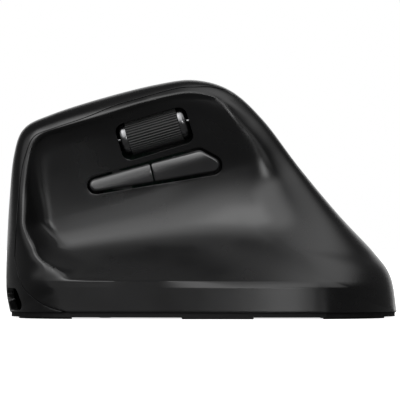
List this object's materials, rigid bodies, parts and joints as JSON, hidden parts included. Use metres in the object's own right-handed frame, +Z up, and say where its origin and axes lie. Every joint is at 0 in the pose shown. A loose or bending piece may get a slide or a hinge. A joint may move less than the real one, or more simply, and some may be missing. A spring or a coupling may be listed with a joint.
{
  "type": "vertical ergonomic mouse",
  "caption": "Right-handed upright computer mouse with a thumb scoop, ribbed thumb roller, thumb keys, clickable scroll wheel, sprung main buttons and glide feet.",
  "frame": {"origin": "on the desk plane under the middle of the bounding box", "axes": "+X to the rear under the palm, +Y to the finger side, +Z up from the desk"},
  "size_m": [0.12, 0.076, 0.0729],
  "materials": {
    "shell_plastic": "satin black moulded plastic with a fine grain",
    "base_plastic": "plain black moulded plastic",
    "key_plastic": "smooth black plastic, half gloss",
    "inner_plastic": "plain dark grey structural plastic",
    "grip_rubber": "ribbed black rubber",
    "ring_gloss": "polished black plastic",
    "steel": "drawn steel",
    "port_steel": "folded steel sheet",
    "board": "green solder mask over glass laminate",
    "switch_plastic": "plain dark plastic",
    "plunger_plastic": "plain pale plastic",
    "battery_foil": "laminated foil pouch",
    "lens_clear": "clear moulded lens",
    "foot_slick": "slippery smooth foot sheet"
  },
  "bodies": {
    "housing": {"base_plate": "base_plastic", "main_shell": "shell_plastic", "thumb_shell": "shell_plastic", "hinge_pin": "steel", "roller_cradle": "inner_plastic", "roller_encoder": "switch_plastic", "carrier_pin": "steel", "scroll_encoder": "switch_plastic", "frame": "inner_plastic", "button_board": "board", "thumb_board": "board", "main_board": "board", "left_switch": "switch_plastic", "right_switch": "switch_plastic", "middle_switch": "switch_plastic", "resolution_switch": "switch_plastic", "forward_switch": "switch_plastic", "back_switch": "switch_plastic", "battery": "battery_foil", "optical_sensor": "switch_plastic", "sensor_lens": "lens_clear", "charging_port": "port_steel", "power_switch": "switch_plastic", "front_foot": "foot_slick", "rear_foot": "foot_slick", "side_foot": "foot_slick", "base_screws": "steel", "board_screws": "steel"},
    "left_main_button": {"left_button": "shell_plastic", "left_lever": "inner_plastic"},
    "right_main_button": {"right_button": "shell_plastic", "right_lever": "inner_plastic"},
    "wheel_tilt_carrier": {"wheel_carrier": "inner_plastic"},
    "scroll_wheel": {"scroll_tyre": "grip_rubber", "scroll_hub": "inner_plastic", "scroll_axle": "steel"},
    "resolution_key": {"resolution_button": "key_plastic"},
    "forward_key": {"forward_button": "key_plastic"},
    "back_key": {"back_button": "key_plastic"},
    "thumb_roller": {"roller_sleeve": "grip_rubber", "roller_rings": "ring_gloss", "roller_axle": "steel"},
    "power_slide": {"power_slider": "plunger_plastic"},
    "left_switch_plunger": {"left_plunger": "plunger_plastic"},
    "right_switch_plunger": {"right_plunger": "plunger_plastic"},
    "middle_switch_plunger": {"middle_plunger": "plunger_plastic"},
    "resolution_switch_plunger": {"resolution_plunger": "plunger_plastic"},
    "forward_switch_plunger": {"forward_plunger": "plunger_plastic"},
    "back_switch_plunger": {"back_plunger": "plunger_plastic"}
  },
  "joints": [
    {"name": "left_click", "type": "hinge", "parent": "housing", "child": "left_main_button", "pos_m": [-0.00841, 0.01551, 0.04488], "axis": [0, -0.4563, 0.8898], "range_deg": [0, 0.86], "stiffness_Nm_per_rad": 1, "springref_deg": -0.57},
    {"name": "right_click", "type": "hinge", "parent": "housing", "child": "right_main_button", "pos_m": [-0.00841, 0.01551, 0.04488], "axis": [0, -0.4563, 0.8898], "range_deg": [0, 0.86], "stiffness_Nm_per_rad": 1, "springref_deg": -0.57},
    {"name": "wheel_click", "type": "hinge", "parent": "housing", "child": "wheel_tilt_carrier", "pos_m": [-0.02395, 0.00908, 0.04158], "axis": [0, -0.4563, 0.8898], "range_deg": [0, 1.05], "stiffness_Nm_per_rad": 1, "springref_deg": -0.57},
    {"name": "wheel_spin", "type": "hinge", "parent": "wheel_tilt_carrier", "child": "scroll_wheel", "pos_m": [-0.0369, 0.01051, 0.04231], "axis": [0, 0.4563, -0.8898], "continuous": true},
    {"name": "resolution_press", "type": "slide", "parent": "housing", "child": "resolution_key", "axis": [0.1392, -0.8812, -0.4518], "range_m": [0, 0.0004], "stiffness_N_per_m": 800, "springref_m": -0.0005},
    {"name": "forward_press", "type": "slide", "parent": "housing", "child": "forward_key", "axis": [0, 1, 0], "range_m": [0, 0.0005], "stiffness_N_per_m": 800, "springref_m": -0.0005},
    {"name": "back_press", "type": "slide", "parent": "housing", "child": "back_key", "axis": [0, 1, 0], "range_m": [0, 0.0005], "stiffness_N_per_m": 800, "springref_m": -0.0005},
    {"name": "roller_spin", "type": "hinge", "parent": "housing", "child": "thumb_roller", "pos_m": [-0.01445, -0.00954, 0.05759], "axis": [0.9583, -0.0713, 0.2766], "continuous": true},
    {"name": "power_travel", "type": "slide", "parent": "housing", "child": "power_slide", "axis": [1, 0, 0], "range_m": [0, 0.003]},
    {"name": "left_plunge", "type": "slide", "parent": "housing", "child": "left_switch_plunger", "axis": [0.1392, -0.8812, -0.4518], "range_m": [0, 0.00051]},
    {"name": "right_plunge", "type": "slide", "parent": "housing", "child": "right_switch_plunger", "axis": [0.1392, -0.8812, -0.4518], "range_m": [0, 0.00051]},
    {"name": "middle_plunge", "type": "slide", "parent": "housing", "child": "middle_switch_plunger", "axis": [0.1392, -0.8812, -0.4518], "range_m": [0, 0.00051]},
    {"name": "resolution_plunge", "type": "slide", "parent": "housing", "child": "resolution_switch_plunger", "axis": [0.1392, -0.8812, -0.4518], "range_m": [0, 0.00051]},
    {"name": "forward_plunge", "type": "slide", "parent": "housing", "child": "forward_switch_plunger", "axis": [0, 1, 0], "range_m": [0, 0.00051]},
    {"name": "back_plunge", "type": "slide", "parent": "housing", "child": "back_switch_plunger", "axis": [0, 1, 0], "range_m": [0, 0.00051]}
  ],
  "couplings": [
    {"joint": "left_plunge", "follows": "left_click", "m_per_rad": 0.033},
    {"joint": "right_plunge", "follows": "right_click", "m_per_rad": 0.033},
    {"joint": "middle_plunge", "follows": "wheel_click", "m_per_rad": 0.027},
    {"joint": "resolution_plunge", "follows": "resolution_press", "ratio": 1},
    {"joint": "forward_plunge", "follows": "forward_press", "ratio": 1},
    {"joint": "back_plunge", "follows": "back_press", "ratio": 1}
  ]
}
